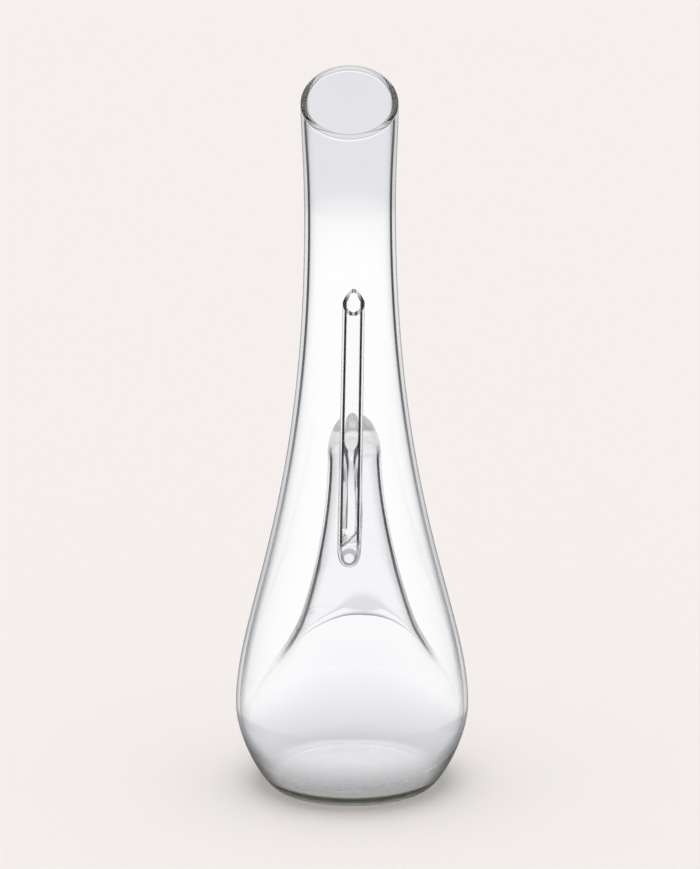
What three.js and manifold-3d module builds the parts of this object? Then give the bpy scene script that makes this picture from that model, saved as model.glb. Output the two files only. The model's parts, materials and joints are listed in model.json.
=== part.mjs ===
// Clear glass decanter with an inner bell and a pouring tube
//
// The outer shell is a tall drop: a slanted mouth, a long neck, a shoulder and a round bulb on a
// thick base. A closed bell stands inside it, nearer the back, and its skirt is sealed to the
// shell's wall all round, so the body holds an upper and a lower chamber. A thick-walled tube
// stands in front of the bell, opens into it at the foot, and ends in a slanted cut in the neck.
//
// Millimetres, +Z up, origin at the centre of the foot. The front, with the low side of the
// mouth, is towards -Y.

import * as THREE from 'three';
import { mergeVertices } from 'three/addons/utils/BufferGeometryUtils.js';
import Module from 'manifold-3d';

// Outer shell: outline
const mouthHeight = 368;
const mouthRadius = 25.2;
const mouthSlopeDegrees = 29;
const waistHeight = 312;
const waistRadius = 23.7;
const bodyHeight = 43;
const bodyRadius = 61.8;
const footRadius = 43;

// Outer shell: handles of the outline's curves, as shares of the span that each one follows
const neckFlareShare = 0.94;
const neckUpperShare = 0.33;
const neckLowerShare = 0.55;
const shoulderUpperShare = 0.6;
const shoulderLowerShare = 0.19;
const heelUpperShare = 0.425;
const heelLowerShare = 0.22;

// How far a curve's handle runs, as a share of the radius, where it follows a quarter of a circle
const quarterArcShare = 0.5523;

// Glass thickness
const mouthWall = 3.4;
const waistWall = 2.8;
const bodyWall = 2.5;
const baseThickness = 4.5;
const bellWall = 1.6;
const bellSkirtWall = 2.2;

// Base
const seamHeight = 8;
const footRingWidth = 3;
const puntDepth = 1.6;

// Inner bell: the inner face of its wall, measured from the bell's own axis
const bellCavityTop = 190;
const bellTop = 201.5;
const bellShoulderHeight = 178;
const bellShoulderRadius = 12.6;
const bellFlareHeight = 80;
const bellFlareRadius = 29.6;
const bellFlareDegrees = 72.4;
const bellSkirtHeight = 6.5;
const bellSkirtRadius = 92;
const bellSkirtDegrees = 28.3;

// Inner bell: how far its outline's curves run straight before they bend
const bellShoulderRun = 32.5;
const bellNeckRun = 25;
const bellFlareRun = 20;
const bellSkirtRun = 34.7;

// Inner bell: where its axis stands at the height of bellAxisHeight, and how it leans
const bellAxisHeight = 70;
const bellBack = 24.9;
const bellSide = 3.3;
const bellLeanForwardDegrees = 8;
const bellLeanSideDegrees = 0.8;

// Pouring tube
const tubeFront = 12.2;
const tubeSide = 1.1;
const tubeSideHeight = 134;
const tubeLeanDegrees = 1.2;
const tubeTopHeight = 266;
const tubeFootHeight = 134;
const tubeTopRadius = 5.6;
const tubeFootRadius = 6.3;
const boreTopRadius = 4;
const boreFootRadius = 4.6;
const tubeCutDegrees = 45;
const tubeCutLength = 22;

// Side opening from the tube into the bell
const portRise = 5.2;
const portRadius = 4.9;
const portBoreRadius = 3.4;
const portReach = 11;

// Heel of the tube, and the handles of its outline's curve
const heelDepth = 11.6;
const heelRoundShare = 0.6;
const heelSideShare = 0.25;

// Fit between pieces, how far a cutter runs past what it cuts, and when two points count as one
const weldGap = 0.3;
const overrun = 4;
const repeatShare = 0.01;

// Facets
const roundSteps = 48;
const tubeSteps = 24;
const portSteps = 20;
const neckRows = 7;
const shoulderRows = 13;
const heelRows = 10;
const rimRows = 4;
const crownRows = 6;
const bellNeckRows = 7;
const bellSkirtRows = 8;
const heelDropRows = 7;

const wasm = await Module();
wasm.setup();

// Booleans

function solidOf(geometry) {
  const bare = geometry.clone();
  bare.deleteAttribute('normal');
  bare.deleteAttribute('uv');
  const merged = mergeVertices(bare);
  const vertProperties = new Float32Array(merged.attributes.position.array);
  const triVerts = new Uint32Array(merged.index.array);
  return new wasm.Manifold(new wasm.Mesh({ numProp: 3, vertProperties, triVerts }));
}

function geometryOf(solid) {
  const mesh = solid.getMesh();
  const geometry = new THREE.BufferGeometry();
  geometry.setAttribute('position', new THREE.BufferAttribute(new Float32Array(mesh.vertProperties), 3));
  geometry.setIndex(new THREE.BufferAttribute(new Uint32Array(mesh.triVerts), 1));
  geometry.computeVertexNormals();
  return geometry;
}

// Outlines: each point is (radius, height), and a wall is a curve set off along its own normal

function curve(a, b, c, d) {
  return new THREE.CubicBezierCurve(
    new THREE.Vector2(...a),
    new THREE.Vector2(...b),
    new THREE.Vector2(...c),
    new THREE.Vector2(...d),
  );
}

function along(path, rows, startWall, endWall) {
  const points = [];
  for (let row = 0; row <= rows; row += 1) {
    const share = row / rows;
    const tangent = path.getTangent(share);
    const wall = THREE.MathUtils.lerp(startWall, endWall, share);
    const inward = new THREE.Vector2(tangent.y, -tangent.x).multiplyScalar(wall);
    points.push(path.getPoint(share).add(inward));
  }
  return points;
}

function withoutRepeats(points) {
  const closest = weldGap * repeatShare;
  return points.filter((point, i) => i === 0 || point.distanceTo(points[i - 1]) > closest);
}

// A ring of glass rounded over between two walls, as a polished rim is
function roundedRim(from, to, rows) {
  const centre = from.clone().add(to).multiplyScalar(1 / 2);
  const arm = from.clone().sub(centre);
  const points = [];
  for (let row = 1; row < rows; row += 1) {
    points.push(arm.clone().rotateAround(new THREE.Vector2(), Math.PI * row / rows).add(centre));
  }
  return points;
}

function revolve(points, steps) {
  const geometry = new THREE.LatheGeometry(withoutRepeats(points), steps);
  geometry.rotateX(Math.PI / 2);
  return geometry;
}

// Slants the top of a revolved piece: rows near the top tilt most, so the wall stays even
function slant(geometry, fromHeight, toHeight, degrees) {
  const slope = Math.tan(THREE.MathUtils.degToRad(degrees));
  const position = geometry.attributes.position;
  for (let i = 0; i < position.count; i += 1) {
    const share = THREE.MathUtils.clamp((position.getZ(i) - fromHeight) / (toHeight - fromHeight), 0, 1);
    position.setZ(i, position.getZ(i) + position.getY(i) * slope * share ** 2);
  }
  return geometry;
}

// Body: neck, shoulder and heel of the outer face, from the mouth down

const neckSpan = mouthHeight - waistHeight;
const shoulderSpan = waistHeight - bodyHeight;

const neckCurve = curve(
  [mouthRadius, mouthHeight],
  [THREE.MathUtils.lerp(waistRadius, mouthRadius, neckFlareShare), mouthHeight - neckSpan * neckUpperShare],
  [waistRadius, mouthHeight - neckSpan * neckLowerShare],
  [waistRadius, waistHeight],
);
const shoulderCurve = curve(
  [waistRadius, waistHeight],
  [waistRadius, waistHeight - shoulderSpan * shoulderUpperShare],
  [bodyRadius, bodyHeight + shoulderSpan * shoulderLowerShare],
  [bodyRadius, bodyHeight],
);

// From the widest part of the body in to the foot, for a face that lies a wall in and a floor up
function heelCurve(wall, floor) {
  const radius = bodyRadius - wall;
  return curve(
    [radius, bodyHeight],
    [radius, THREE.MathUtils.lerp(bodyHeight, floor, heelUpperShare)],
    [THREE.MathUtils.lerp(footRadius, radius, heelLowerShare), floor],
    [footRadius, floor],
  );
}

function bodyFace(mouth, waist, body, floor) {
  return [
    ...along(neckCurve, neckRows, mouth, waist),
    ...along(shoulderCurve, shoulderRows, waist, body),
    ...along(heelCurve(body, floor), heelRows, 0, 0),
  ];
}

const outerFace = bodyFace(0, 0, 0, 0);
const innerFace = bodyFace(mouthWall, waistWall, bodyWall, baseThickness);

function glassBody() {
  const footEdge = new THREE.Vector2(footRadius - footRingWidth, 0);
  const puntCentre = new THREE.Vector2(0, puntDepth);
  const puntMiddle = new THREE.Vector2(footEdge.x / 2, puntDepth);
  const punt = new THREE.QuadraticBezierCurve(footEdge, puntMiddle, puntCentre).getPoints(rimRows);
  const floorCentre = new THREE.Vector2(0, baseThickness);
  const rim = roundedRim(outerFace[0], innerFace[0], rimRows);
  const outline = [
    ...punt.reverse(),
    ...[...outerFace].reverse(),
    ...rim,
    ...innerFace,
    floorCentre,
  ];
  return solidOf(slant(revolve(outline, roundSteps), waistHeight, mouthHeight, mouthSlopeDegrees));
}

// What the body can hold, less the gap that a sealed piece keeps to the wall
function cavity() {
  const face = bodyFace(
    mouthWall + weldGap,
    waistWall + weldGap,
    bodyWall + weldGap,
    baseThickness + weldGap,
  );
  const outline = [
    new THREE.Vector2(0, face[face.length - 1].y),
    ...face.reverse(),
    new THREE.Vector2(0, mouthHeight),
  ];
  return solidOf(revolve(outline, roundSteps));
}

function slab(low, high) {
  const width = 2 * (bodyRadius + overrun);
  const box = new THREE.BoxGeometry(width, width, high - low);
  box.translate(0, 0, (low + high) / 2);
  return solidOf(box);
}

function outerShell() {
  return glassBody().subtract(slab(-overrun, seamHeight + weldGap / 2));
}

function base() {
  return glassBody().intersect(slab(-overrun, seamHeight - weldGap / 2));
}

// Inner bell: a rounded crown, a steep neck and a wide skirt, trimmed to the body's inner wall

function leanAt(height, fromHeight, degrees) {
  return (height - fromHeight) * Math.tan(THREE.MathUtils.degToRad(degrees));
}

function crown(radius, top) {
  return curve(
    [0, top],
    [radius * quarterArcShare, top],
    [radius, THREE.MathUtils.lerp(bellShoulderHeight, top, quarterArcShare)],
    [radius, bellShoulderHeight],
  ).getPoints(crownRows);
}

// A point that lies a run along a slope from (radius, height): up the slope where the run is positive
function runFrom(radius, height, degrees, run) {
  const angle = THREE.MathUtils.degToRad(degrees);
  return [radius - run * Math.cos(angle), height + run * Math.sin(angle)];
}

function bellFace(neckWall, flareWall, skirtWall) {
  const flare = [bellFlareRadius, bellFlareHeight];
  const neckPath = curve(
    [bellShoulderRadius, bellShoulderHeight],
    [bellShoulderRadius, bellShoulderHeight - bellShoulderRun],
    runFrom(...flare, bellFlareDegrees, bellNeckRun),
    flare,
  );
  const skirtPath = curve(
    flare,
    runFrom(...flare, bellFlareDegrees, -bellFlareRun),
    runFrom(bellSkirtRadius, bellSkirtHeight, bellSkirtDegrees, bellSkirtRun),
    [bellSkirtRadius, bellSkirtHeight],
  );
  return [
    ...along(neckPath, bellNeckRows, neckWall, flareWall),
    ...along(skirtPath, bellSkirtRows, flareWall, skirtWall).slice(1),
  ];
}

function bellOutline() {
  const inner = bellFace(0, 0, 0);
  const outer = bellFace(-bellWall, -bellWall, -bellSkirtWall);
  return [
    ...crown(inner[0].x, bellCavityTop),
    ...inner,
    ...outer.reverse(),
    ...crown(outer[outer.length - 1].x, bellTop).reverse(),
  ];
}

function innerBell() {
  const geometry = revolve(bellOutline(), roundSteps);
  const position = geometry.attributes.position;
  for (let i = 0; i < position.count; i += 1) {
    const height = position.getZ(i);
    position.setX(i, position.getX(i) + bellSide - leanAt(height, bellAxisHeight, bellLeanSideDegrees));
    position.setY(i, position.getY(i) + bellBack - leanAt(height, bellAxisHeight, bellLeanForwardDegrees));
  }
  return solidOf(geometry).intersect(cavity()).subtract(portCutter(portRadius + weldGap));
}

// Pouring tube: a tapered tube with a slanted top, and a short side branch into the bell

const portHeight = tubeFootHeight + portRise;

function tubeAxisAt(height) {
  return leanAt(height, tubeSideHeight, tubeLeanDegrees) - tubeSide;
}

function placeTube(geometry) {
  const position = geometry.attributes.position;
  for (let i = 0; i < position.count; i += 1) {
    position.setX(i, position.getX(i) + tubeAxisAt(position.getZ(i)));
    position.setY(i, position.getY(i) - tubeFront);
  }
  return geometry;
}

function portCutter(radius) {
  const length = portReach + overrun;
  const cutter = new THREE.CylinderGeometry(radius, radius, length, portSteps);
  cutter.translate(tubeAxisAt(portHeight), length / 2 - tubeFront, 0);
  cutter.translate(0, 0, portHeight);
  return solidOf(cutter);
}

function portBranch() {
  const branch = new THREE.CylinderGeometry(portRadius, portRadius, portReach, portSteps);
  branch.translate(tubeAxisAt(portHeight), portReach / 2 - tubeFront, portHeight);
  return solidOf(branch);
}

function tubeBody(topRadius, footRadius, lowest, highest, cutFrom) {
  const outline = [
    new THREE.Vector2(0, lowest),
    new THREE.Vector2(footRadius, lowest),
    new THREE.Vector2(THREE.MathUtils.lerp(topRadius, footRadius, tubeCutLength / (highest - lowest)), cutFrom),
  ];
  for (let row = 1; row <= rimRows; row += 1) {
    const share = row / rimRows;
    const height = THREE.MathUtils.lerp(cutFrom, highest, share);
    outline.push(new THREE.Vector2(topRadius, height));
  }
  outline.push(new THREE.Vector2(0, highest));
  const geometry = slant(revolve(outline, tubeSteps), cutFrom, highest, tubeCutDegrees);
  return solidOf(placeTube(geometry));
}

function pourTube() {
  const cutFrom = tubeTopHeight - tubeCutLength;
  const outside = tubeBody(tubeTopRadius, tubeFootRadius, tubeFootHeight, tubeTopHeight, cutFrom);
  const bore = tubeBody(
    boreTopRadius,
    boreFootRadius,
    tubeFootHeight - overrun,
    tubeTopHeight + overrun,
    cutFrom,
  );
  return outside.add(portBranch()).subtract(bore).subtract(portCutter(portBoreRadius));
}

// Heel: a solid drop that closes the tube's foot
function tubeHeel() {
  const top = tubeFootHeight - weldGap;
  const low = tubeFootHeight - heelDepth;
  const drop = curve(
    [0, low],
    [tubeFootRadius * heelRoundShare, low],
    [tubeFootRadius, low + heelDepth * heelSideShare],
    [tubeFootRadius, top],
  );
  const outline = [
    ...drop.getPoints(heelDropRows),
    new THREE.Vector2(0, top),
  ];
  return solidOf(placeTube(revolve(outline, tubeSteps)));
}

// Glass of each piece, and the assembly

function glass(color) {
  return new THREE.MeshStandardMaterial({
    color,
    roughness: 0.03,
    metalness: 0,
    transparent: true,
    opacity: 0.35,
  });
}

function piece(name, solid, material) {
  const mesh = new THREE.Mesh(geometryOf(solid), material);
  mesh.name = name;
  return mesh;
}

const decanter = new THREE.Group();
decanter.name = 'decanter';
decanter.add(piece('outer_shell', outerShell(), glass(0xe9e8ee)));
decanter.add(piece('base', base(), glass(0xd3d5ce)));
decanter.add(piece('inner_bell', innerBell(), glass(0xe6e6eb)));
decanter.add(piece('pour_tube', pourTube(), glass(0xe2e3e6)));
decanter.add(piece('tube_heel', tubeHeel(), glass(0xdcdee0)));

export default decanter;
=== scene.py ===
# %% [markdown]
# # A clear glass decanter with an inner bell
#
# The real object is one body of clear glass. A glassworker blows a tall shell, closes it with a thick base,
# stands a thin bell inside and seals its skirt to the shell, and welds a pouring tube to the bell.
# This lesson dresses a solid model of it. The solid model says where everything is, and the cells below
# make the fine glass that stands in its place, the finishes, the floor, the light and the camera.

# %% Load the solid model
import bisect
import json
import math

import bmesh
import bpy
from mathutils import Matrix, Vector

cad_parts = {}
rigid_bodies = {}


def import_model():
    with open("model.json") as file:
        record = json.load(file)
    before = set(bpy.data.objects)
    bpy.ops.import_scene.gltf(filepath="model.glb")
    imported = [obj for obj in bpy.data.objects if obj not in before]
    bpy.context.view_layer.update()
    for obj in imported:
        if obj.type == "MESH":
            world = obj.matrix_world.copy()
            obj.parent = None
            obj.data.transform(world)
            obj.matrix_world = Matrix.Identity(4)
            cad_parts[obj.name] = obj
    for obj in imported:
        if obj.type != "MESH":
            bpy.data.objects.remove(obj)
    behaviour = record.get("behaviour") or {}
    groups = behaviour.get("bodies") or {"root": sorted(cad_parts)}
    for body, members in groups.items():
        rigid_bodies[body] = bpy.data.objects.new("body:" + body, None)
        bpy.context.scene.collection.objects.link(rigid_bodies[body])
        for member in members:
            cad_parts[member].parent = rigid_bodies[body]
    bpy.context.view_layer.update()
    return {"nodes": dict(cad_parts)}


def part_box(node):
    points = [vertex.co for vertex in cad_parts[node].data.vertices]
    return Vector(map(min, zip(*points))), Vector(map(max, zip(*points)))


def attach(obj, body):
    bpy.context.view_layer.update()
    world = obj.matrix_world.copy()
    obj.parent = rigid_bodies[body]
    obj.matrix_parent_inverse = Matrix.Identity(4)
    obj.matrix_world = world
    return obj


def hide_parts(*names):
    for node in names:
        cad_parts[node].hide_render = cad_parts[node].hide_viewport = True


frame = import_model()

MM = 0.001
for node_name in frame["nodes"]:
    low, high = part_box(node_name)
    print(node_name, "stands from", [round(v / MM, 1) for v in low], "to", [round(v / MM, 1) for v in high])

# %% [markdown]
# ## The outline of the blown body
#
# A blown body is round, so its whole shape is one outline turned about the axis. The outline could be drawn
# point by point, but three smooth curves need only a few sizes: the neck from the mouth to the waist, the
# long shoulder down to the widest place, and the heel in to the foot. The inner face follows the same curves
# one wall further in, so the glass is 2.5 to 3.4 mm thick all the way down.

# %% Sizes of the body
MOUTH_HEIGHT = 368 * MM
MOUTH_RADIUS = 25.2 * MM
MOUTH_SLOPE = math.radians(29)
WAIST_HEIGHT = 312 * MM
WAIST_RADIUS = 23.7 * MM
BODY_HEIGHT = 43 * MM
BODY_RADIUS = 61.8 * MM
FOOT_RADIUS = 43 * MM
MOUTH_WALL = 3.4 * MM
WAIST_WALL = 2.8 * MM
BODY_WALL = 2.5 * MM
BASE_THICKNESS = 4.5 * MM
FOOT_RING = 3 * MM
PUNT_DEPTH = 1.6 * MM
print("the body is", BODY_RADIUS * 2 / MM, "mm across and its waist", WAIST_RADIUS * 2 / MM, "mm")


# %% A smooth curve with a wall's offset
def mix(a, b, share):
    return a + (b - a) * share


def curve(handles, rows, walls=(0, 0)):
    """Points (radius, height) along a curve of four handles, each set off inwards by the wall at that place."""
    a, b, c, d = (Vector(handle) for handle in handles)
    points = []
    for row in range(rows + 1):
        t = row / rows
        u = 1 - t
        place = a * u ** 3 + b * 3 * u * u * t + c * 3 * u * t * t + d * t ** 3
        slope = (b - a) * u * u + (c - b) * 2 * u * t + (d - c) * t * t
        slope.normalize()
        points.append(place + Vector((slope.y, -slope.x)) * mix(*walls, t))
    return points


# %% [markdown]
# Each curve starts and ends at a size from the list. Two handles between them say how long it keeps its first
# direction and how early it takes its last one. They are shares of the drop or of the width, so the outline
# stays smooth when a size changes.

# %% The two faces of the body
LIP_FLARE = 0.94
NECK_HANDLES = (0.33, 0.55)
SHOULDER_HANDLES = (0.6, 0.19)
HEEL_HANDLES = (0.425, 0.22)
NECK_ROWS, SHOULDER_ROWS, HEEL_ROWS = 20, 48, 30


def body_face(mouth, waist, body, floor):
    """One face of the body, set off inwards by the wall at the mouth, waist and body, and up by the floor."""
    neck = MOUTH_HEIGHT - WAIST_HEIGHT
    shoulder = WAIST_HEIGHT - BODY_HEIGHT
    radius = BODY_RADIUS - body
    neck_curve = (
        (MOUTH_RADIUS, MOUTH_HEIGHT),
        (mix(WAIST_RADIUS, MOUTH_RADIUS, LIP_FLARE), MOUTH_HEIGHT - neck * NECK_HANDLES[0]),
        (WAIST_RADIUS, MOUTH_HEIGHT - neck * NECK_HANDLES[1]),
        (WAIST_RADIUS, WAIST_HEIGHT),
    )
    shoulder_curve = (
        (WAIST_RADIUS, WAIST_HEIGHT),
        (WAIST_RADIUS, WAIST_HEIGHT - shoulder * SHOULDER_HANDLES[0]),
        (BODY_RADIUS, BODY_HEIGHT + shoulder * SHOULDER_HANDLES[1]),
        (BODY_RADIUS, BODY_HEIGHT),
    )
    heel_curve = (
        (radius, BODY_HEIGHT),
        (radius, mix(BODY_HEIGHT, floor, HEEL_HANDLES[0])),
        (mix(FOOT_RADIUS, radius, HEEL_HANDLES[1]), floor),
        (FOOT_RADIUS, floor),
    )
    face = curve(neck_curve, NECK_ROWS, (mouth, waist))
    face += curve(shoulder_curve, SHOULDER_ROWS, (waist, body))[1:]
    face += curve(heel_curve, HEEL_ROWS)[1:]
    return face


outer_face = body_face(0, 0, 0, 0)
inner_face = body_face(MOUTH_WALL, WAIST_WALL, BODY_WALL, BASE_THICKNESS)
print("outline of the body:", len(outer_face), "points outside and", len(inner_face), "inside")

# %% [markdown]
# ## Turning an outline into glass
#
# Blender's spin operator does what a lathe does. The outline starts as a row of joined points in a bmesh,
# and one full turn with its ends merged makes a closed skin. Points that meet on the axis are merged after
# that, and the faces are turned outwards, because glass bends light the wrong way where a face points in.

# %% A lathe
TURNS = 160
SAME_POINT = 0.002 * MM


def turned(outline):
    bm = bmesh.new()
    points = [bm.verts.new((radius, 0, height)) for radius, height in outline]
    lines = [bm.edges.new(pair) for pair in zip(points, points[1:])]
    bmesh.ops.spin(
        bm,
        geom=points + lines,
        cent=(0, 0, 0),
        axis=(0, 0, 1),
        dvec=(0, 0, 0),
        angle=math.tau,
        steps=TURNS,
        use_merge=True,
        use_duplicate=False,
    )
    bmesh.ops.remove_doubles(bm, verts=bm.verts, dist=SAME_POINT)
    bmesh.ops.recalc_face_normals(bm, faces=bm.faces)
    return bm


def piece_from(bm, name, *materials):
    mesh = bpy.data.meshes.new(name)
    bm.to_mesh(mesh)
    bm.free()
    mesh.shade_smooth()
    piece = bpy.data.objects.new(name, mesh)
    bpy.context.scene.collection.objects.link(piece)
    for material in materials:
        mesh.materials.append(material)
    print(name, "has", len(mesh.polygons), "faces")
    return piece


# %% [markdown]
# Pieces of hot glass melt into one. Two overlapping meshes would leave skins of glass inside each other, and
# light would bend there. So a Boolean modifier adds, cuts or trims, and its result is kept as a plain mesh.
# The manifold solver is used because all these meshes are closed, and it is fast on them.


# %% Adding, cutting and trimming glass
def joined(piece, tool, operation):
    """Adds, cuts or trims piece with tool, and uses the tool up."""
    step = piece.modifiers.new("step", "BOOLEAN")
    step.operation = operation
    step.solver = "MANIFOLD"
    step.object = tool
    step.material_mode = "TRANSFER"
    graph = bpy.context.evaluated_depsgraph_get()
    mesh = bpy.data.meshes.new_from_object(piece.evaluated_get(graph), depsgraph=graph)
    piece.modifiers.clear()
    old = piece.data
    piece.data = mesh
    mesh.name = piece.name
    bpy.data.meshes.remove(old)
    bpy.data.objects.remove(tool)
    print(piece.name, operation.lower(), "->", len(mesh.polygons), "faces")


# %% [markdown]
# ## Clear glass and its painted shade lines
#
# Clear glass shows itself by its edges. Seen face on it is almost as white as what stands behind it. Where a
# face turns away from the eye, light is bent or thrown far to the side, and a studio with a bright wall behind
# the glass and darkness around it draws a dark line there. That darkness could be built from black cards, but
# then the glass would look right from one side only. Here that shade is painted into the glass's colour
# instead: a node group works out how steeply light meets the face on its air side and darkens the colour, a
# painted shade line.
#
# Every face of glass also mirrors some of the room. Eight or more faces lie behind each other here, and their
# mirror light would lay a grey veil over the dark lines, so the shine is held back to a fifth by its tint.

# %% Node helpers
GLASS_IOR = 1.5
SOFT_SHINE = (0.2, 0.2, 0.2)


def link_in(tree, socket, value):
    if isinstance(value, bpy.types.NodeSocket):
        tree.links.new(value, socket)
    else:
        socket.default_value = value


def maths(tree, operation, a, b=0.0, c=0.0):
    node = tree.nodes.new("ShaderNodeMath")
    node.operation = operation
    for socket, value in zip(node.inputs, (a, b, c)):
        link_in(tree, socket, value)
    return node.outputs[0]


def product(tree, first, *others):
    for other in others:
        first = maths(tree, "MULTIPLY", first, other)
    return first


def smooth_between(tree, value, low, high, at_low, at_high):
    node = tree.nodes.new("ShaderNodeMapRange")
    node.interpolation_type = "SMOOTHSTEP"
    names = ("Value", "From Min", "From Max", "To Min", "To Max")
    for name, given in zip(names, (value, low, high, at_low, at_high)):
        link_in(tree, node.inputs[name], given)
    return node.outputs["Result"]


def blended(tree, share, a, b):
    """Colour a where the share is 0 and b where it is 1."""
    node = tree.nodes.new("ShaderNodeMix")
    node.data_type = "RGBA"
    link_in(tree, node.inputs["Factor"], share)
    for socket, value in (("A", a), ("B", b)):
        link_in(tree, node.inputs[socket], (*value, 1) if isinstance(value, tuple) else value)
    return node.outputs["Result"]


def new_group(name, inputs, outputs):
    group = bpy.data.node_groups.new(name, "ShaderNodeTree")
    for label, kind, value in inputs:
        socket = group.interface.new_socket(label, in_out="INPUT", socket_type=kind)
        socket.default_value = value
    for label, kind in outputs:
        group.interface.new_socket(label, in_out="OUTPUT", socket_type=kind)
    print("group", name, "takes", ", ".join(label for label, kind, value in inputs))
    return group, group.nodes.new("NodeGroupInput"), group.nodes.new("NodeGroupOutput")


# %% [markdown]
# Two places get dark. One is the very edge, where light only grazes the face. The other is the place where
# the inner face of the wall is grazed. For a round wall that place follows from the wall's share of the
# radius: light that comes in at one radius less one wall just touches the inner face. So the group needs
# only that share to know the angle at which the line stands. It gets its angles from nodes in the material,
# because an export can't look for those inside a group.
#
# The measure for the angle is the squared cosine on the air side of the face: 1 face on, 0 at the edge, and
# below 0 where light inside the glass is thrown back and never comes out.

# %% A group for the dark lines of glass
FLOAT, VECTOR = "NodeSocketFloat", "NodeSocketVector"
edge_group, edge_in, edge_out = new_group(
    "edge_of_glass",
    [
        ("Facing", FLOAT, 0.0),
        ("Inside", FLOAT, 0.0),
        ("Wall Share", FLOAT, 0.1),
        ("Edge Darkness", FLOAT, 0.0),
        ("Edge Reach", FLOAT, 0.1),
        ("Line Darkness", FLOAT, 0.0),
        ("Line Width", FLOAT, 0.28),
        ("Shade", FLOAT, 0.0),
    ],
    [("Darkness", FLOAT)],
)
edge = edge_in.outputs
cosine = maths(edge_group, "SUBTRACT", 1.0, edge["Facing"])
sine2 = maths(edge_group, "SUBTRACT", 1.0, product(edge_group, cosine, cosine))
bending = maths(edge_group, "MULTIPLY_ADD", edge["Inside"], GLASS_IOR**2 - 1, 1.0)
air_side = maths(edge_group, "SUBTRACT", 1.0, product(edge_group, sine2, bending))

# %% The dark edge
THROWN_REACH = -0.3
far_side = product(edge_group, edge["Edge Reach"], THROWN_REACH)
passed = smooth_between(edge_group, air_side, 0.0, edge["Edge Reach"], 1.0, 0.0)
thrown = smooth_between(edge_group, air_side, far_side, 0.0, 0.0, 1.0)
at_edge = product(edge_group, maths(edge_group, "MINIMUM", passed, thrown), edge["Edge Darkness"])
print("the edge is dark down to", THROWN_REACH, "of its reach on the side that throws light back")

# %% The line inside the edge and the soft shade beside it
LEVEL_SHARE = 0.924
HALF_WIDTH = 0.5
SHADE_WIDTHS = 5.0
shares = product(edge_group, edge["Wall Share"], maths(edge_group, "SUBTRACT", 2.0, edge["Wall Share"]))
line_at = product(edge_group, shares, LEVEL_SHARE)
width = product(edge_group, line_at, edge["Line Width"])
away = maths(edge_group, "SUBTRACT", air_side, line_at)
half, wide = product(edge_group, width, HALF_WIDTH), product(edge_group, width, SHADE_WIDTHS)
minus_half, minus_width = product(edge_group, width, -HALF_WIDTH), product(edge_group, width, -1.0)
outer_side = smooth_between(edge_group, away, minus_width, minus_half, 0.0, 1.0)
inner_side = smooth_between(edge_group, away, half, width, 1.0, 0.0)
shade_side = smooth_between(edge_group, away, 0.0, wide, 1.0, 0.0)
in_line = product(edge_group, outer_side, inner_side, edge["Line Darkness"])
in_shade = product(edge_group, outer_side, shade_side, edge["Shade"])
darkest = maths(edge_group, "MAXIMUM", maths(edge_group, "MAXIMUM", in_line, in_shade), at_edge)
edge_group.links.new(darkest, edge_out.inputs["Darkness"])
print(edge_group.name, "has", len(edge_group.nodes), "nodes")

# %% [markdown]
# Blown glass is never quite even. It has long shallow waves from the blowing, a little stronger along the
# axis. They could be cut into the mesh, but they are far shallower than a face is wide, so a second group
# gives their height for a bump node in the material.

# %% A group for the shallow waves of blown glass
WAVE_STRETCH = 0.35
wave_group, wave_in, wave_out = new_group(
    "blown_waves",
    [("Place", VECTOR, (0, 0, 0)), ("Size", FLOAT, 40.0)],
    [("Height", FLOAT)],
)
stretch = wave_group.nodes.new("ShaderNodeMapping")
stretch.inputs["Scale"].default_value = (1, 1, WAVE_STRETCH)
wave_group.links.new(wave_in.outputs["Place"], stretch.inputs["Vector"])
waves = wave_group.nodes.new("ShaderNodeTexNoise")
waves.inputs["Detail"].default_value = 1.0
wave_group.links.new(stretch.outputs["Vector"], waves.inputs["Vector"])
wave_group.links.new(wave_in.outputs["Size"], waves.inputs["Scale"])
wave_group.links.new(waves.outputs["Fac"], wave_out.inputs["Height"])

# %% [markdown]
# The glass itself is one class with a few values, because every face of it is the same clear glass. What
# differs is which painted shade lines a face gets, so each face of the body, the bell and the tube gets its own
# values, as plain numbers or as values that change with the height. A face may also take painted shade by
# place, such as the dark heel.

# %% The glass itself
CLEAR = (1.0, 1.0, 1.0)
WAVE_STRENGTH = 0.02
WAVE_DEPTH = 1 * MM
LINE_INPUTS = {
    "edge": "Edge Darkness",
    "reach": "Edge Reach",
    "line": "Line Darkness",
    "width": "Line Width",
    "shade": "Shade",
    "wall_share": "Wall Share",
}


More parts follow.
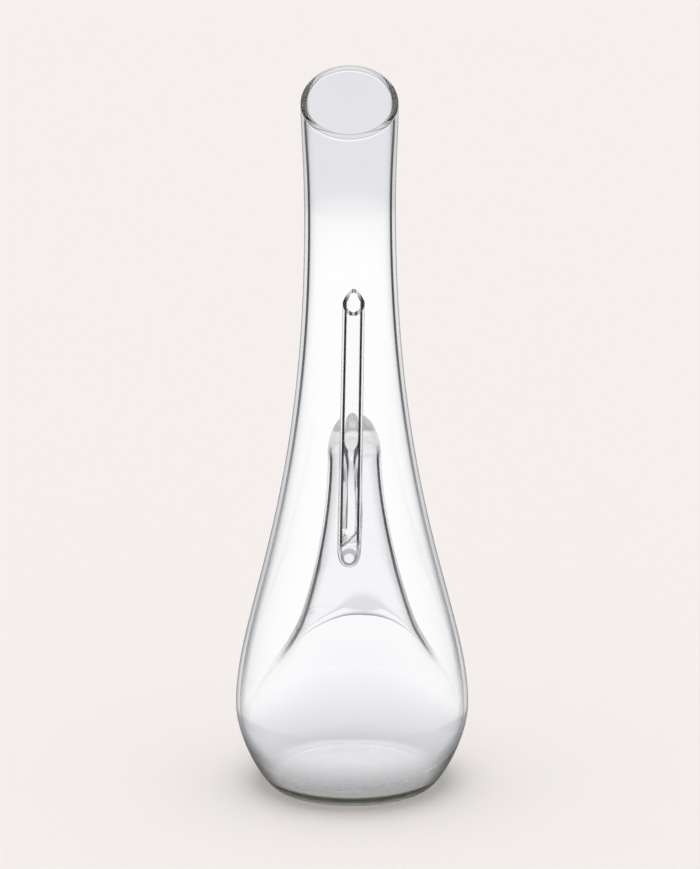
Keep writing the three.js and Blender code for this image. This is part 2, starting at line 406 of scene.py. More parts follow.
class Glass:
    """Clear glass whose colour carries painted shade as dark lines. The values in lines are those of
    LINE_INPUTS.
    """

    def __init__(self, name, colour=CLEAR, roughness=0.0, **lines):
        self.material = bpy.data.materials.new(name)
        self.material.use_nodes = True
        self.tree = self.material.node_tree
        self.colour = colour
        self.shader = self.tree.nodes["Principled BSDF"]
        self.shader.inputs["IOR"].default_value = GLASS_IOR
        self.shader.inputs["Roughness"].default_value = roughness
        self.shader.inputs["Transmission Weight"].default_value = 1.0
        self.shader.inputs["Specular Tint"].default_value = (*SOFT_SHINE, 1)
        self.place = self.tree.nodes.new("ShaderNodeTexCoord").outputs["Object"]
        self.inside = self.tree.nodes.new("ShaderNodeNewGeometry").outputs["Backfacing"]
        self.add_lines()
        self.add_waves()
        self.set(**lines)

    def add_lines(self):
        facing = self.tree.nodes.new("ShaderNodeLayerWeight")
        facing.inputs["Blend"].default_value = 0.5
        lines = self.tree.nodes.new("ShaderNodeGroup")
        lines.node_tree = edge_group
        self.tree.links.new(facing.outputs["Facing"], lines.inputs["Facing"])
        self.tree.links.new(self.inside, lines.inputs["Inside"])
        self.lines = lines.inputs
        self.darkness = lines.outputs["Darkness"]

    def add_waves(self):
        ripple = self.tree.nodes.new("ShaderNodeGroup")
        ripple.node_tree = wave_group
        self.tree.links.new(self.place, ripple.inputs["Place"])
        bump = self.tree.nodes.new("ShaderNodeBump")
        bump.inputs["Strength"].default_value = WAVE_STRENGTH
        bump.inputs["Distance"].default_value = WAVE_DEPTH
        self.tree.links.new(ripple.outputs["Height"], bump.inputs["Height"])
        self.tree.links.new(bump.outputs["Normal"], self.shader.inputs["Normal"])

    def axes(self):
        apart = self.tree.nodes.new("ShaderNodeSeparateXYZ")
        self.tree.links.new(self.place, apart.inputs[0])
        return apart.outputs

    def by_height(self, low, high, at_low, at_high):
        """A value that runs smoothly from at_low to at_high between two heights in millimetres."""
        return smooth_between(self.tree, self.axes()[2], low * MM, high * MM, at_low, at_high)

    def radius(self, foot=(0, 0), lean=(0, 0)):
        """The distance from an axis that starts at foot and leans with the height."""
        x, y, z = self.axes()
        across = maths(self.tree, "MULTIPLY_ADD", z, -lean[0], maths(self.tree, "SUBTRACT", x, foot[0]))
        along = maths(self.tree, "MULTIPLY_ADD", z, -lean[1], maths(self.tree, "SUBTRACT", y, foot[1]))
        squares = maths(self.tree, "MULTIPLY_ADD", across, across, product(self.tree, along, along))
        return maths(self.tree, "SQRT", squares)

    def set(self, **lines):
        for name, value in lines.items():
            link_in(self.tree, self.lines[LINE_INPUTS[name]], value)

    def soften(self, roughness):
        link_in(self.tree, self.shader.inputs["Roughness"], roughness)

    def darken(self, mask):
        self.darkness = maths(self.tree, "MAXIMUM", self.darkness, mask)

    def finish(self, shade_colour):
        # Painted shade: the colour runs to the dark shade colour where the lines and marks fall.
        colour = blended(self.tree, self.darkness, self.colour, shade_colour)
        self.tree.links.new(colour, self.shader.inputs["Base Color"])
        print(self.material.name, "has", len(self.tree.nodes), "nodes")
        return self.material


# %% [markdown]
# ## The outer face of the body
#
# Two dark lines run down each side of the real decanter: the outline, and a stronger one inside it where the
# wall's inner face is grazed. In the wide bulb the wall is a smaller share of the radius and bends light
# less, so the inner line fades there. In the heel the wall turns under, and the edge gets broad and dark.
# All these lines are painted shade in the face's colour. One line strength for the whole height would be
# simpler, but it would draw the bulb far too hard.

# %% Painted shade lines of the outer face
# Near-black colour of the painted shade lines.
LINE_SHADE = (0.004, 0.004, 0.004)
SEEN_WALL = 2.6 * MM
THIN_SHARE, THICK_SHARE = 0.04, 0.115
AT_THIN, AT_THICK = 0.38, 0.93
HEEL_TURN = (20, 46)
HEEL_TO_BULB = (14, 120)
outer = Glass("outer_face_glass", shade=0.16)
wall_share = maths(outer.tree, "DIVIDE", SEEN_WALL, outer.radius())
near_side = maths(outer.tree, "SUBTRACT", 1.0, outer.inside)
# Painted shade: a broad dark edge where the heel turns under, on the near side only.
low_edge_shade = product(outer.tree, outer.by_height(*HEEL_TURN, 0.68, 0.0), near_side)
outer.set(
    wall_share=wall_share,
    line=smooth_between(outer.tree, wall_share, THIN_SHARE, THICK_SHARE, AT_THIN, AT_THICK),
    edge=maths(outer.tree, "ADD", low_edge_shade, outer.by_height(*HEEL_TO_BULB, 0.3, 0.5)),
    reach=outer.by_height(*HEEL_TURN, 0.42, 0.06),
)

# %% [markdown]
# The foot carries a dark band with a hint of olive: the olive is the colour of thick glass seen through its
# length, and the darkness is shade, as is the soft shade that runs up from it. Long paths inside the glass
# could tint it, but the studio around it gives no control over where they end. So the band is painted shade by
# height, and only on the near side: from behind it would be seen twice, once through each wall.

# %% The painted shade band at the foot
# Near-black painted shade with the olive tint of thick glass.
OLIVE_SHADE = (0.008, 0.0095, 0.003)
# Painted shade: a dark band at the foot and a soft shade fading up the heel, near side only.
foot_band_shade = product(outer.tree, outer.by_height(0, 4.5, 0.88, 1.0), outer.by_height(6, 11, 1.0, 0.0))
heel = maths(outer.tree, "MAXIMUM", foot_band_shade, outer.by_height(8, 38, 0.75, 0.0))
outer.darken(product(outer.tree, heel, near_side))
outer_glass = outer.finish(OLIVE_SHADE)

# %% [markdown]
# The inner face gets a thin painted dark edge of its own. Low down it is hardly seen, because the thick heel in
# front of it blurs it, so there the edge fades and the face is a little rough. The floor and the underside of
# the thick base are uneven too, as pressed and ground glass is. The roughness has a second use: light that is
# caught in the heel by mirroring gets out again, where it would otherwise die and leave black spots.

# %% The inner face and the two faces of the base
BASE_ROUGHNESS = 0.15
UNDER_TINT = (0.98, 0.985, 0.96)
inner = Glass("inner_face_glass")
inner.set(edge=inner.by_height(30, 60, 0.02, 0.5))
inner.soften(inner.by_height(16, 34, 0.2, 0.0))
inner_glass = inner.finish(LINE_SHADE)
floor_glass = Glass("floor_glass", roughness=BASE_ROUGHNESS).finish(LINE_SHADE)
under_glass = Glass("underside_glass", UNDER_TINT, roughness=BASE_ROUGHNESS).finish(LINE_SHADE)

# %% [markdown]
# The polished rim is a half round of thick glass. In front and behind it is bright, and at its left and
# right, where the eye looks along it, it closes to two dark crescents. They are painted by the distance from
# the middle.

# %% The rim
RIM_BRIGHT, RIM_DARK = 15 * MM, 23 * MM
rim = Glass("rim_glass", edge=0.9, reach=0.3)
aside = maths(rim.tree, "ABSOLUTE", rim.axes()[0])
rim.darken(smooth_between(rim.tree, aside, RIM_BRIGHT, RIM_DARK, 0.0, 0.97))
rim_glass = rim.finish(OLIVE_SHADE)

# %% [markdown]
# ## The blown body
#
# The body's outline runs from the middle of the kicked-up bottom over the foot ring, up the outer face, over
# the rounded rim and down the inner face to the floor. The real mouth is cut at a slant and polished. A cut
# would leave a sharp lip to round off again, so here the lathe's round rim is slanted instead: points near
# the mouth rise with their distance towards the back, and the wall keeps its thickness up to the lip.


# %% Helpers for the rim and the slant
def ramp(value, start, end):
    """0 up to start, 1 from end on, and an even climb between them."""
    return min(max((value - start) / (end - start), 0), 1)


def slanted(bm, low, high, slope):
    for point in bm.verts:
        point.co.z += point.co.y * math.tan(slope) * ramp(point.co.z, low, high) ** 2


def half_round(start, end, rows):
    """Points of half a circle from start to end, both left out, as on a polished rim."""
    middle = (start + end) / 2
    arm = start - middle
    points = []
    for row in range(1, rows):
        turn = Matrix.Rotation(math.pi * row / rows, 2)
        points.append(middle + turn @ arm)
    return points


# %% Turn the body and slant its mouth
KICK_ROWS, RIM_ROWS = 16, 12
foot_edge = Vector((FOOT_RADIUS - FOOT_RING, 0))
kick_curve = ((0, PUNT_DEPTH), (foot_edge.x / 3, PUNT_DEPTH), (foot_edge.x * 0.7, PUNT_DEPTH * 0.5), foot_edge)
body_outline = (
    curve(kick_curve, KICK_ROWS)
    + outer_face[::-1]
    + half_round(outer_face[0], inner_face[0], RIM_ROWS)
    + inner_face
    + [Vector((0, BASE_THICKNESS))]
)
body_bm = turned(body_outline)
slanted(body_bm, WAIST_HEIGHT, MOUTH_HEIGHT, MOUTH_SLOPE)
body = piece_from(body_bm, "blown_glass", outer_glass, inner_glass, floor_glass, under_glass, rim_glass)

# %% Give each face of the body its glass
OUTER_KIND, INNER_KIND, FLOOR_KIND, UNDER_KIND, RIM_KIND = range(5)
RIM_START = 0.3 * MM
for face in body.data.polygons:
    middle = face.center
    if Vector(middle.xy).length < FOOT_RADIUS and middle.z < BASE_THICKNESS + MM:
        face.material_index = UNDER_KIND if face.normal.z < 0 else FLOOR_KIND
    elif middle.z > MOUTH_HEIGHT + middle.y * math.tan(MOUTH_SLOPE) + RIM_START:
        face.material_index = RIM_KIND
    else:
        outwards = middle.x * face.normal.x + middle.y * face.normal.y > 0
        face.material_index = OUTER_KIND if outwards else INNER_KIND
print("faces on the rim:", sum(face.material_index == RIM_KIND for face in body.data.polygons))

# %% [markdown]
# ## The inner bell
#
# The bell is thin blown glass too: a rounded crown, a steep neck and a wide skirt. It stands nearer the back
# of the body and leans forward, and its skirt is melted to the wall all round, high at the back and low at
# the front. That slanting seal would be hard to draw. It comes by itself when a plain round bell is turned on
# its own axis, moved and leaned, and trimmed inside the wall.

# %% Sizes of the bell
BELL_WALL = 1.6 * MM
SKIRT_WALL = 2.2 * MM
CAVITY_TOP = 190 * MM
BELL_TOP = 201.5 * MM
BELL_SHOULDER = Vector((12.6 * MM, 178 * MM))
BELL_FLARE = Vector((29.6 * MM, 80 * MM))
BELL_FLARE_ANGLE = math.radians(72.4)
BELL_SKIRT = Vector((92 * MM, 6.5 * MM))
BELL_SKIRT_ANGLE = math.radians(28.3)
BELL_PLACE = Vector((3.3 * MM, 24.9 * MM, 70 * MM))
BELL_LEAN = Vector((math.tan(math.radians(0.8)), math.tan(math.radians(8))))
print("the bell is", BELL_TOP / MM, "mm tall and stands", BELL_PLACE.y / MM, "mm behind the middle")

# %% The outline of the bell
SHOULDER_RUN = 32.5 * MM
RUN_ABOVE_FLARE, RUN_BELOW_FLARE, SKIRT_RUN = 25 * MM, -20 * MM, 34.7 * MM
BELL_NECK_ROWS, BELL_SKIRT_ROWS, CROWN_ROWS = 30, 100, 20
QUARTER_HANDLE = 0.5523


def run_from(point, angle, run):
    """The point that lies a run up the slope from point."""
    return point + Vector((-math.cos(angle), math.sin(angle))) * run


def bell_face(neck_wall, flare_wall, skirt_wall):
    neck = (
        BELL_SHOULDER,
        BELL_SHOULDER - Vector((0, SHOULDER_RUN)),
        run_from(BELL_FLARE, BELL_FLARE_ANGLE, RUN_ABOVE_FLARE),
        BELL_FLARE,
    )
    skirt = (
        BELL_FLARE,
        run_from(BELL_FLARE, BELL_FLARE_ANGLE, RUN_BELOW_FLARE),
        run_from(BELL_SKIRT, BELL_SKIRT_ANGLE, SKIRT_RUN),
        BELL_SKIRT,
    )
    upper = curve(neck, BELL_NECK_ROWS, (neck_wall, flare_wall))
    return upper + curve(skirt, BELL_SKIRT_ROWS, (flare_wall, skirt_wall))[1:]


def crown(shoulder, top):
    """A quarter round from the axis at top down to the shoulder."""
    handles = (
        (0, top),
        (shoulder.x * QUARTER_HANDLE, top),
        (shoulder.x, mix(shoulder.y, top, QUARTER_HANDLE)),
        shoulder,
    )
    return curve(handles, CROWN_ROWS)[:-1]


bell_inner = bell_face(0, 0, 0)
bell_outer = bell_face(-BELL_WALL, -BELL_WALL, -SKIRT_WALL)
print("outline of the bell:", len(bell_inner), "points on each face")

# %% [markdown]
# The bell has the same painted shade lines as the body, at its own radius. Where its skirt is sealed to the
# wall, the two melts fold, and the grazed faces of the fold show a dark line of shade, strongest at the back,
# where the bell stands steep. The line could be a thin ring of its own, but it would have to follow the waving
# seal. The shader paints that shade by place instead: the wall's inner face is nearly a parabola in height
# there, and the line stands where the distance to it is less than a millimetre.


# %% Radius of a face at a height
def radius_at(face, height):
    """The radius at a height of a face that is listed from the top down."""
    row = bisect.bisect_left(face, -height, lo=1, hi=len(face) - 1, key=lambda point: -point.y)
    upper, lower = face[row - 1], face[row]
    return mix(lower.x, upper.x, ramp(height, lower.y, upper.y))


# %% The painted shade line of the seal
SEAL_REACH = 0.9 * MM
SEAL_RISE = 32 * MM
SEAL_FRONT, SEAL_BACK = -2 * MM, 16 * MM
SEAL_FADE, SEAL_END = 42 * MM, 50 * MM
AT_FRONT = 0.12
widest = radius_at(inner_face, BODY_HEIGHT)
drawn_in = (widest - radius_at(inner_face, BODY_HEIGHT + SEAL_RISE)) / SEAL_RISE**2
print("the wall draws in by", round(drawn_in * SEAL_RISE**2 / MM, 2), "mm over the height of the seal")


def seal_shade_mask(finish, strength):
    tree = finish.tree
    rise = maths(tree, "SUBTRACT", finish.axes()[2], BODY_HEIGHT)
    wall_at = maths(tree, "MULTIPLY_ADD", product(tree, rise, rise), -drawn_in, widest)
    apart = maths(tree, "SUBTRACT", wall_at, finish.radius())
    near = smooth_between(tree, apart, 0.0, SEAL_REACH, 1.0, 0.0)
    high = smooth_between(tree, rise, SEAL_FRONT, SEAL_BACK, AT_FRONT, strength)
    low = smooth_between(tree, rise, SEAL_FADE, SEAL_END, 1.0, 0.0)
    return product(tree, near, high, low)


# %% [markdown]
# The skirt is seen nearly face on and draws hardly a line, so its painted lines fade out below the flare. The
# crown is a thick solid cap, which smears what is behind it and looks evenly grey, so there the hard line gives
# way to a soft broad edge and a faint painted grey shade. Roughness does the smearing, at the crown and at the
# foot of the skirt, where light gets trapped. More geometry in the crown would only add more sharp lines.

# %% Glass of the bell
BELL_TINT = (0.965, 0.965, 0.98)
BELL_FOOT = (BELL_PLACE.x + BELL_PLACE.z * BELL_LEAN.x, BELL_PLACE.y + BELL_PLACE.z * BELL_LEAN.y)
ABOVE_SKIRT = (54, 72)
TO_CROWN = (176, 188)


def soften_ends(finish):
    at_crown = finish.by_height(166, 182, 0.0, 0.14)
    at_foot = finish.by_height(16, 34, 0.2, 0.0)
    finish.soften(maths(finish.tree, "MAXIMUM", at_crown, at_foot))


bell_out = Glass("bell_outer_glass", BELL_TINT, width=0.5)
line_up = bell_out.by_height(*ABOVE_SKIRT, 0.1, 0.98)
edge_up = bell_out.by_height(*ABOVE_SKIRT, 0.1, 1.0)
bell_out.set(
    wall_share=maths(bell_out.tree, "DIVIDE", BELL_WALL, bell_out.radius(BELL_FOOT, -BELL_LEAN)),
    line=product(bell_out.tree, line_up, bell_out.by_height(178, 190, 1.0, 0.0)),
    shade=bell_out.by_height(*ABOVE_SKIRT, 0.03, 0.3),
    edge=product(bell_out.tree, edge_up, bell_out.by_height(*TO_CROWN, 0.7, 0.3)),
    reach=bell_out.by_height(*TO_CROWN, 0.1, 0.45),
)
bell_out.darken(seal_shade_mask(bell_out, 0.35))
# Painted shade: an even faint grey over the crown.
bell_out.darken(bell_out.by_height(172, 186, 0.0, 0.12))
soften_ends(bell_out)

bell_in = Glass("bell_inner_glass", BELL_TINT)
inner_edge_up = bell_in.by_height(*ABOVE_SKIRT, 0.1, 0.8)
bell_in.set(edge=product(bell_in.tree, inner_edge_up, bell_in.by_height(168, 180, 1.0, 0.2)))
bell_in.darken(seal_shade_mask(bell_in, 0.95))
soften_ends(bell_in)
bell_materials = (bell_out.finish(LINE_SHADE), bell_in.finish(LINE_SHADE))

# %% [markdown]
# A skirt sealed by hand doesn't meet the wall at one even height, so three soft waves around the bell lift
# and lower the part near the wall, as in the photo. Each wave has its direction and its width in degrees.

# %% Turn the bell, wave its skirt and lean it
SEAL_WAVES = ((150, 28, 5.4 * MM), (82, 22, -2.8 * MM), (25, 24, 3.0 * MM))
WAVE_START, WAVE_FULL = 22 * MM, 32 * MM
bell_outline = (
    crown(bell_inner[0], CAVITY_TOP)
    + bell_inner
    + bell_outer[::-1]
    + crown(bell_outer[0], BELL_TOP)[::-1]
)
bell_bm = turned(bell_outline)
bell_bm.normal_update()
for face in bell_bm.faces:
    middle = face.calc_center_median()
    outwards = middle.x * face.normal.x + middle.y * face.normal.y + MM * face.normal.z > 0
    face.material_index = 0 if outwards else 1
for point in bell_bm.verts:
    degrees = math.degrees(math.atan2(point.co.y, point.co.x))
    wave = 0
    for middle, wide, lift in SEAL_WAVES:
        away = (degrees - middle + 180) % 360 - 180
        wave += lift * math.exp(-((away / wide) ** 2))
    point.co.z += wave * ramp(Vector(point.co.xy).length, WAVE_START, WAVE_FULL)
    rise = point.co.z - BELL_PLACE.z
    point.co.x += BELL_PLACE.x - rise * BELL_LEAN.x
    point.co.y += BELL_PLACE.y - rise * BELL_LEAN.y
bell = piece_from(bell_bm, "bell_tool", *bell_materials)

# %% Trim the bell inside the wall, and melt it to the body
MELT_DEPTH = 1.2 * MM
trim_face = body_face(*(wall - MELT_DEPTH for wall in (MOUTH_WALL, WAIST_WALL, BODY_WALL, BASE_THICKNESS)))
trim_outline = [Vector((0, trim_face[0].y))] + trim_face + [Vector((0, trim_face[-1].y))]
trim = piece_from(turned(trim_outline), "trim_tool")
joined(bell, trim, "INTERSECT")
joined(body, bell, "UNION")

# %% [markdown]
# ## The pouring tube
#
# The tube is drawn glass with a thick wall. It stands in front of the bell, a little to the left, and leans
# to the right going up. Its top is cut at 46 degrees towards the front. Its foot ends in a solid drop, and a
# side opening joins its bore to the inside of the bell. A tube with a ready bore would close at the weld, so
# it is made in the workshop's order: a solid rod, cut at the top and welded to the bell, and bored last.

# %% Sizes of the tube
TUBE_FRONT = 12.2 * MM
TUBE_SIDE = 1.1 * MM
TUBE_LEAN = math.tan(math.radians(1.2))
TUBE_TOP = 266 * MM
TUBE_FOOT = 134 * MM
ROD_FOOT, ROD_TOP = 6.3 * MM, 5.6 * MM
FOOT_BORE, TOP_BORE = 4.6 * MM, 4.0 * MM
HEEL_DEPTH = 11.6 * MM
PORT_HEIGHT = 139.2 * MM
PORT_RADIUS = 3.4 * MM
TIP_LENGTH, TIP_NARROWING = 5 * MM, 0.35
SPARE = 8 * MM
print("the tube's wall is", round((ROD_FOOT - FOOT_BORE) / MM, 1), "mm thick")


# %% Placing the tube
def tube_x(height):
    """Where the tube's axis stands, left or right of the middle."""
    return (height - TUBE_FOOT) * TUBE_LEAN - TUBE_SIDE


def place_on_tube(bm):
    """Narrows the top towards its tip, then leans the tube and moves it to its place."""
    for point in bm.verts:
        point.co.x *= 1 - TIP_NARROWING * ramp(point.co.z, TUBE_TOP, TUBE_TOP + TIP_LENGTH)
        point.co.x += tube_x(point.co.z)
        point.co.y -= TUBE_FRONT


def straight(start, end, rows):
    return [start.lerp(end, row / rows) for row in range(rows + 1)]


# %% [markdown]
# The tube's wall is nearly a third of its radius, so its painted shade lines are broad and almost black. They
# soften where the drop begins. The floor of the bore is a strongly curved lip and its edge is painted dark all
# over, while the port stays light. The slanted cut at the top gets painted dark crescents of shade left and
# right, as the rim does.

# %% Glass of the tube
DROP_TOP = (131, 138)
CUT_BRIGHT, CUT_DARK = 2.4 * MM, 3.9 * MM
tube_out = Glass("tube_outer_glass", edge=0.8, reach=0.22, width=0.4, shade=0.05, wall_share=0.29)
tube_out.set(line=tube_out.by_height(*DROP_TOP, 0.7, 0.995))
tube_glass = tube_out.finish(LINE_SHADE)
bore_glass = Glass("tube_bore_glass", edge=0.9, reach=0.14).finish(LINE_SHADE)
bore_floor_glass = Glass("bore_floor_glass", edge=0.97, reach=0.4).finish(LINE_SHADE)
port_glass = Glass("port_glass", edge=0.2).finish(LINE_SHADE)
cut = Glass("cut_glass", edge=0.6, reach=0.2)
from_axis = maths(cut.tree, "ABSOLUTE", maths(cut.tree, "SUBTRACT", cut.axes()[0], tube_x(TUBE_TOP)))
# Painted shade: dark crescents at the left and right of the cut.
cut.darken(smooth_between(cut.tree, from_axis, CUT_BRIGHT, CUT_DARK, 0.0, 0.999))
cut_glass = cut.finish(LINE_SHADE)

# %% [markdown]
# The rod's outline is a round drop at the foot and a straight side, drawn in to a soft tip at the top, where
# it is cut across later.

# %% Turn the rod
DROP_ROWS, SIDE_ROWS, TIP_ROWS = 16, 36, 18
heel_low = TUBE_FOOT - HEEL_DEPTH
drop = (
    (0, heel_low),
    (ROD_FOOT * 0.6, heel_low),
    (ROD_FOOT, heel_low + HEEL_DEPTH * 0.25),
    (ROD_FOOT, TUBE_FOOT),
)
tip_low = Vector((ROD_TOP, TUBE_TOP - MM))
rod_side = straight(Vector((ROD_FOOT, TUBE_FOOT)), tip_low, SIDE_ROWS)
rod_tip = straight(tip_low, Vector((ROD_TOP, TUBE_TOP + SPARE)), TIP_ROWS)
rod_bm = turned(curve(drop, DROP_ROWS) + rod_side[1:] + rod_tip[1:] + [Vector((0, TUBE_TOP + SPARE))])
place_on_tube(rod_bm)

# %% [markdown]
# The weld is a web of glass between the tube's back and the bell. A separate block would need its own fit on
# both sides, so the back of the rod is drawn out until it overlaps the bell's wall by a little over a
# millimetre: less would leave the port's edge outside the web, and more would show inside the bell. In its
# lower half the hot glass has slumped to the right.


# %% Draw the back of the rod out to the bell
def bell_front(height):
    """How far forward the middle of the bell's wall reaches at a height."""
    middle = BELL_PLACE.y - (height - BELL_PLACE.z) * BELL_LEAN.y
    return middle - radius_at(bell_inner, height) - BELL_WALL * 0.55


WEB_LOW = (126 * MM, 134 * MM)
WEB_HIGH = (188 * MM, 166 * MM)
WELD_OVERLAP = 1.25 * MM
SLUMP_HEIGHT = 149 * MM
SLUMP_REACH = 12 * MM
SLUMP = 2.8 * MM
slump_start = -TUBE_SIDE - ROD_FOOT / 2
for point in rod_bm.verts:
    backwards = (point.co.y + TUBE_FRONT) / ROD_FOOT
    if backwards > 0:
        web = bell_front(point.co.z) + TUBE_FRONT - ROD_FOOT + WELD_OVERLAP
        fade = ramp(point.co.z, *WEB_LOW) ** 2 * ramp(point.co.z, *WEB_HIGH) ** 0.5
        point.co.y += max(web, 0) * backwards * fade
        slumped = math.exp(-(((point.co.z - SLUMP_HEIGHT) / SLUMP_REACH) ** 2))
        right = ramp(point.co.x, slump_start, slump_start + ROD_FOOT)
        point.co.x += SLUMP * backwards * slumped * right
rod = piece_from(rod_bm, "rod_tool", tube_glass)


# %% A round bar, and the cut of the tube's top with it
def bar(name, radius, length, middle, turn, material):
    bm = bmesh.new()
    bmesh.ops.create_cone(
        bm,
        cap_ends=True,
        segments=128,
        radius1=radius,
        radius2=radius,
        depth=length,
        matrix=Matrix.Translation(middle) @ turn,
    )
    return piece_from(bm, name, material)


CUT_ANGLE = math.radians(46)
CUT_SIZE = 60 * MM
cut_up = Vector((0, -math.sin(CUT_ANGLE), math.cos(CUT_ANGLE)))
cut_middle = Vector((0, -TUBE_FRONT, TUBE_TOP)) + cut_up * CUT_SIZE
cut_turn = Matrix.Rotation(CUT_ANGLE, 4, "X")
cutter = bar("cut_tool", CUT_SIZE, CUT_SIZE * 2, cut_middle, cut_turn, cut_glass)
joined(rod, cutter, "DIFFERENCE")
joined(body, rod, "UNION")

# %% [markdown]
# The bore doesn't end square. The hot glass has slumped to one side, so its floor climbs in a soft S from
# left to right.

# %% Bore the tube
BORE_LOW = TUBE_FOOT + 0.2 * MM
FLOOR_ROWS = 12
FLOOR_CLIMB = 7.5 * MM
CLIMB_FADE = 30 * MM
bore_tip = Vector((TOP_BORE, TUBE_TOP - MM))
bore_side = straight(Vector((FOOT_BORE, BORE_LOW)), bore_tip, SIDE_ROWS)
bore_side += straight(bore_tip, Vector((TOP_BORE, TUBE_TOP + SPARE)), TIP_ROWS)[1:]
bore_floor = straight(Vector((0, BORE_LOW)), Vector((FOOT_BORE, BORE_LOW)), FLOOR_ROWS)
bore_bm = turned(bore_floor + bore_side[1:] + [Vector((0, TUBE_TOP + SPARE))])
for point in bore_bm.verts:
    climb = (1 + math.sin(point.co.x / FOOT_BORE * math.pi / 2)) / 2
    point.co.z += FLOOR_CLIMB * climb * ramp(point.co.z, BORE_LOW + CLIMB_FADE, BORE_LOW)
place_on_tube(bore_bm)
bore = piece_from(bore_bm, "bore_tool", bore_glass, bore_floor_glass)
for face in bore.data.polygons:
    face.material_index = int(face.normal.z < -0.5)
joined(body, bore, "DIFFERENCE")

# %% [markdown]
# The side opening at the foot lets wine from the bell into the tube. It is a round bar laid from the tube's
# axis to the inside of the bell and taken out of the glass, so it opens the bore and the weld in one go.

# %% Open the foot of the bore into the bell
PORT_SPARE = 3 * MM
port_end = bell_front(PORT_HEIGHT) + PORT_SPARE
port_middle = Vector((tube_x(PORT_HEIGHT), (port_end - TUBE_FRONT) / 2, PORT_HEIGHT))
port_turn = Matrix.Rotation(math.pi / 2, 4, "X")
port = bar("port_tool", PORT_RADIUS, port_end + TUBE_FRONT, port_middle, port_turn, port_glass)
joined(body, port, "DIFFERENCE")

# %% [markdown]
# ## The fused glass
#
# The cuts leave long faces with many corners, which shade badly, so they are split into triangles. Edges
# stay sharp only where they are steep or where two kinds of glass meet, apart from the body's own kinds,
# which run smoothly into each other. Weighted normals then keep the large faces even beside the thin
# triangles of a cut. The count of open lines should be 0, because glass has to be closed to bend light.

# %% Finish the fused glass
SHARP = math.radians(40)
fused = bmesh.new()
fused.from_mesh(body.data)
bmesh.ops.triangulate(fused, faces=[face for face in fused.faces if len(face.verts) > 4])
for side in fused.faces:
    side.smooth = True
for line in fused.edges:
    kinds = {max(side.material_index, RIM_KIND) for side in line.link_faces}
    line.smooth = len(kinds) == 1 and line.calc_face_angle(0) < SHARP
open_lines = sum(not line.is_manifold for line in fused.edges)
print("open or doubled lines:", open_lines, "triangles:", sum(len(side.verts) - 2 for side in fused.faces))
fused.to_mesh(body.data)
fused.free()
evened = body.modifiers.new("evened", "WEIGHTED_NORMAL")
evened.mode = "FACE_AREA"
evened.keep_sharp = True
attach(body, "root")
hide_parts("outer_shell", "base", "inner_bell", "pour_tube", "tube_heel")
print("fused glass:", len(body.data.polygons), "faces")

# %% [markdown]
# ## Floor and backdrop
#
# The object stands on a wide pale floor that runs back without an edge. The floor is a plain matt surface, so
# it can keep the soft shadow. Rays that have gone through glass don't see it: they see the white of the
# world, as glass in a studio is lit by a bright wall behind it.

# %% Floor
PAPER = (0.913, 0.871, 0.847)
FLOOR_SIZE = 8
UNDER_FOOT = 0.2 * MM
floor_bm = bmesh.new()
bmesh.ops.create_grid(floor_bm, x_segments=8, y_segments=8, size=FLOOR_SIZE)
bmesh.ops.translate(floor_bm, verts=floor_bm.verts, vec=(0, 0, -UNDER_FOOT))
paper = bpy.data.materials.new("pale_paper")
paper.use_nodes = True
paper_shader = paper.node_tree.nodes["Principled BSDF"]
paper_shader.inputs["Roughness"].default_value = 1.0
paper_shader.inputs["Specular IOR Level"].default_value = 0.0
paper_shader.inputs["Base Color"].default_value = (*PAPER, 1)
floor = piece_from(floor_bm, "floor", paper)
floor.visible_transmission = False
floor.visible_glossy = False

# %% [markdown]
# Light that comes through the glass shows the wall behind it. An even white would leave the neck and the foot
# as white as the bulb, where the real ones are a soft grey. So the wall is graded by height, as a lamp on a
# studio wall does it: white in the middle, a little greyer where the neck looks, and greyer again low down,
# over a pale table. The camera itself sees paper, mirrors see a dark room, and the light that the glass
# throws on the floor stays white, so its shadow is pale.


# %% Levels of the world
def sine(degrees):
    """The height of a direction that points up by so many degrees."""
    return math.sin(math.radians(degrees))


WORLD_SHARE = 0.94
WORLD_LIGHT = (WORLD_SHARE,) * 3
MIRRORED = (0.15, 0.15, 0.155)
WALL_WHITE, WALL_HIGH, WALL_LOW = (1.0, 1.0, 1.0), (0.77, 0.77, 0.81), (0.62, 0.62, 0.65)
TABLE = (0.76, 0.76, 0.77)
HIGH_START, CEILING_START = (sine(-14), sine(-12)), (sine(-10.8), sine(-9))
LOW_START, TABLE_START = (sine(-22), sine(-18)), (sine(-30), sine(-23.5))
print("the world gives", WORLD_SHARE, "of the light")

# %% World
world = bpy.data.worlds.new("studio")
bpy.context.scene.world = world
world.use_nodes = True
sky = world.node_tree
path = sky.nodes.new("ShaderNodeLightPath").outputs
direction = sky.nodes.new("ShaderNodeTexCoord")
level = sky.nodes.new("ShaderNodeSeparateXYZ")
sky.links.new(direction.outputs["Generated"], level.inputs[0])
up = level.outputs["Z"]
above = smooth_between(sky, up, *HIGH_START, 0.0, 1.0)
under_ceiling = smooth_between(sky, up, *CEILING_START, 1.0, 0.0)
wall = blended(sky, smooth_between(sky, up, *LOW_START, 1.0, 0.0), WALL_WHITE, WALL_LOW)
wall = blended(sky, product(sky, above, under_ceiling), wall, WALL_HIGH)
wall = blended(sky, smooth_between(sky, up, *TABLE_START, 1.0, 0.0), wall, TABLE)
from_floor = maths(sky, "GREATER_THAN", path["Diffuse Depth"], 0.5)
through_glass = blended(sky, from_floor, wall, WALL_WHITE)
seen = blended(sky, path["Is Glossy Ray"], WORLD_LIGHT, MIRRORED)
seen = blended(sky, path["Is Transmission Ray"], seen, through_glass)
seen = blended(sky, path["Is Camera Ray"], seen, PAPER)
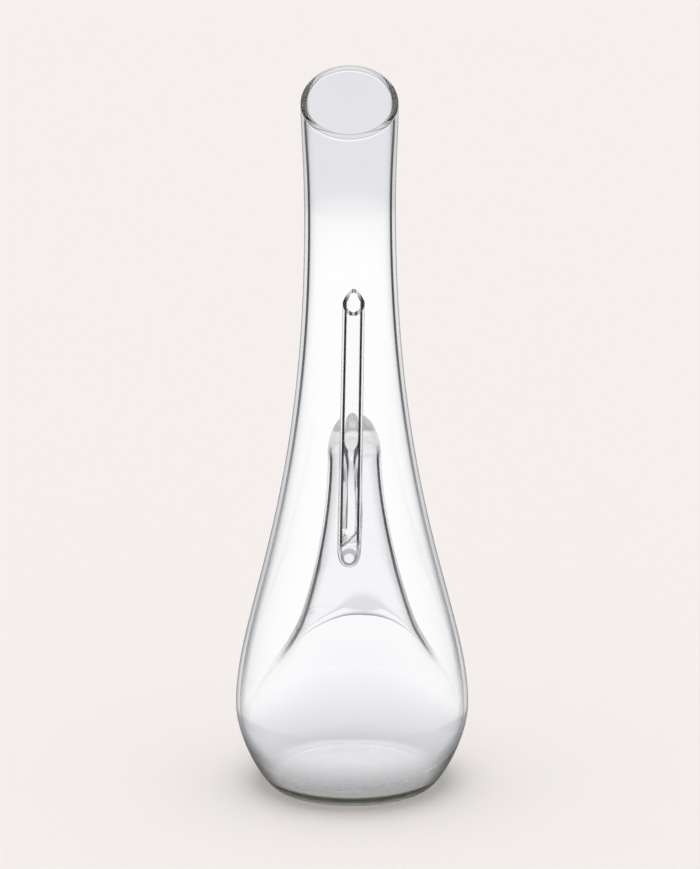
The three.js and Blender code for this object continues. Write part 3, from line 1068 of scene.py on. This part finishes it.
sky.links.new(seen, sky.nodes["Background"].inputs["Color"])
print(world.name, "has", len(sky.nodes), "nodes")

# %% [markdown]
# The soft pool of shade under the decanter comes from one wide lamp nearly overhead. The world gives most of
# the light and the lamp the small rest, and the two together light a level surface with exactly 1, so that
# colours render as they are written.

# %% Lamp
LAMP_TILT = math.radians(-12)
lamp = bpy.data.lights.new("soft_lamp", "SUN")
lamp.energy = (1 - WORLD_SHARE) * math.pi / math.cos(LAMP_TILT)
lamp.angle = math.radians(40)
lamp_place = bpy.data.objects.new("soft_lamp", lamp)
bpy.context.scene.collection.objects.link(lamp_place)
lamp_place.rotation_euler = (LAMP_TILT, 0, 0)
lamp_place.visible_transmission = False
lamp_place.visible_glossy = False
print("the lamp's strength is", round(lamp.energy, 3))

# %% [markdown]
# ## Camera
#
# The camera stands 2.5 m away and looks down by 16 degrees at a point half way up the body, through a long
# lens, and is rolled by a quarter of a degree. The lens is written as its length in pixels of the picture,
# which is what a fit to the photo gives.

# %% Camera
CAMERA_DISTANCE = 2.5
CAMERA_ELEVATION = math.radians(16)
CAMERA_TARGET = Vector((-0.5 * MM, 0, 191.19 * MM))
CAMERA_ROLL = math.radians(0.25)
SENSOR_HEIGHT = 36
PICTURE_HEIGHT, LENS_PIXELS = 869, 4771
camera = bpy.data.cameras.new("camera")
camera.sensor_fit = "VERTICAL"
camera.sensor_height = SENSOR_HEIGHT
camera.lens = SENSOR_HEIGHT * LENS_PIXELS / PICTURE_HEIGHT
camera_object = bpy.data.objects.new("camera", camera)
bpy.context.scene.collection.objects.link(camera_object)
backwards = Vector((0, -math.cos(CAMERA_ELEVATION), math.sin(CAMERA_ELEVATION)))
stand = Matrix.Translation(CAMERA_TARGET + backwards * CAMERA_DISTANCE)
look = (-backwards).to_track_quat("-Z", "Y").to_matrix().to_4x4()
camera_object.matrix_world = stand @ look @ Matrix.Rotation(-CAMERA_ROLL, 4, "Z")
bpy.context.scene.camera = camera_object
print("the lens is", round(camera.lens, 1), "mm long")

# %% [markdown]
# ## Render settings and closing lines
#
# Light gets trapped in the skirt and in the heel: it is mirrored from face to face many times before it comes
# out. Each path that runs out of bounces leaves a black speck, so far more bounces are allowed than usual.
# Light that passes glass after it has met a matt floor is not blurred, because the blur would make the
# shadow of clear glass dark and wide.

# %% Settings
BOUNCES = 160
scene = bpy.context.scene
scene.view_settings.view_transform = "Standard"
scene.cycles.max_bounces = BOUNCES
scene.cycles.transmission_bounces = BOUNCES
scene.cycles.glossy_bounces = BOUNCES
scene.cycles.blur_glossy = 0
print("bounces allowed:", BOUNCES)

# %% Update the scene and finish
bpy.context.view_layer.update()
